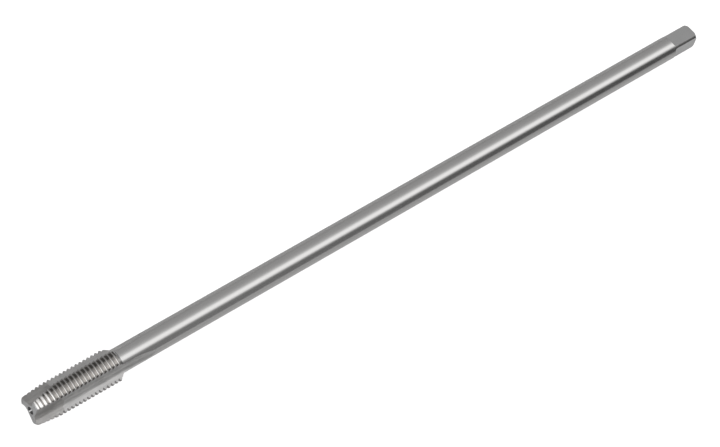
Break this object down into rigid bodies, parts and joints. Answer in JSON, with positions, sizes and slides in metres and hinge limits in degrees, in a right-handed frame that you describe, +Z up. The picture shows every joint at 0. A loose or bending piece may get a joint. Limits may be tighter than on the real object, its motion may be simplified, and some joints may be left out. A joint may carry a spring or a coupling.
{
  "type": "thread tap",
  "caption": "Long-shank machine tap with straight flutes and a spiral point at its threaded end, a plain round shank and a square drive end.",
  "frame": {"origin": "on the surface that the tap lies on, under the middle of its overall length", "axes": "+X along the tap from its cutting end to its square drive end, +Z up, through the middle of the top land"},
  "size_m": [0.24, 0.01, 0.0091],
  "materials": {
    "steel": "ground high-speed steel, satin in the flutes and brighter on the shank"
  },
  "bodies": {
    "root": {"tap": "steel"}
  },
  "joints": []
}
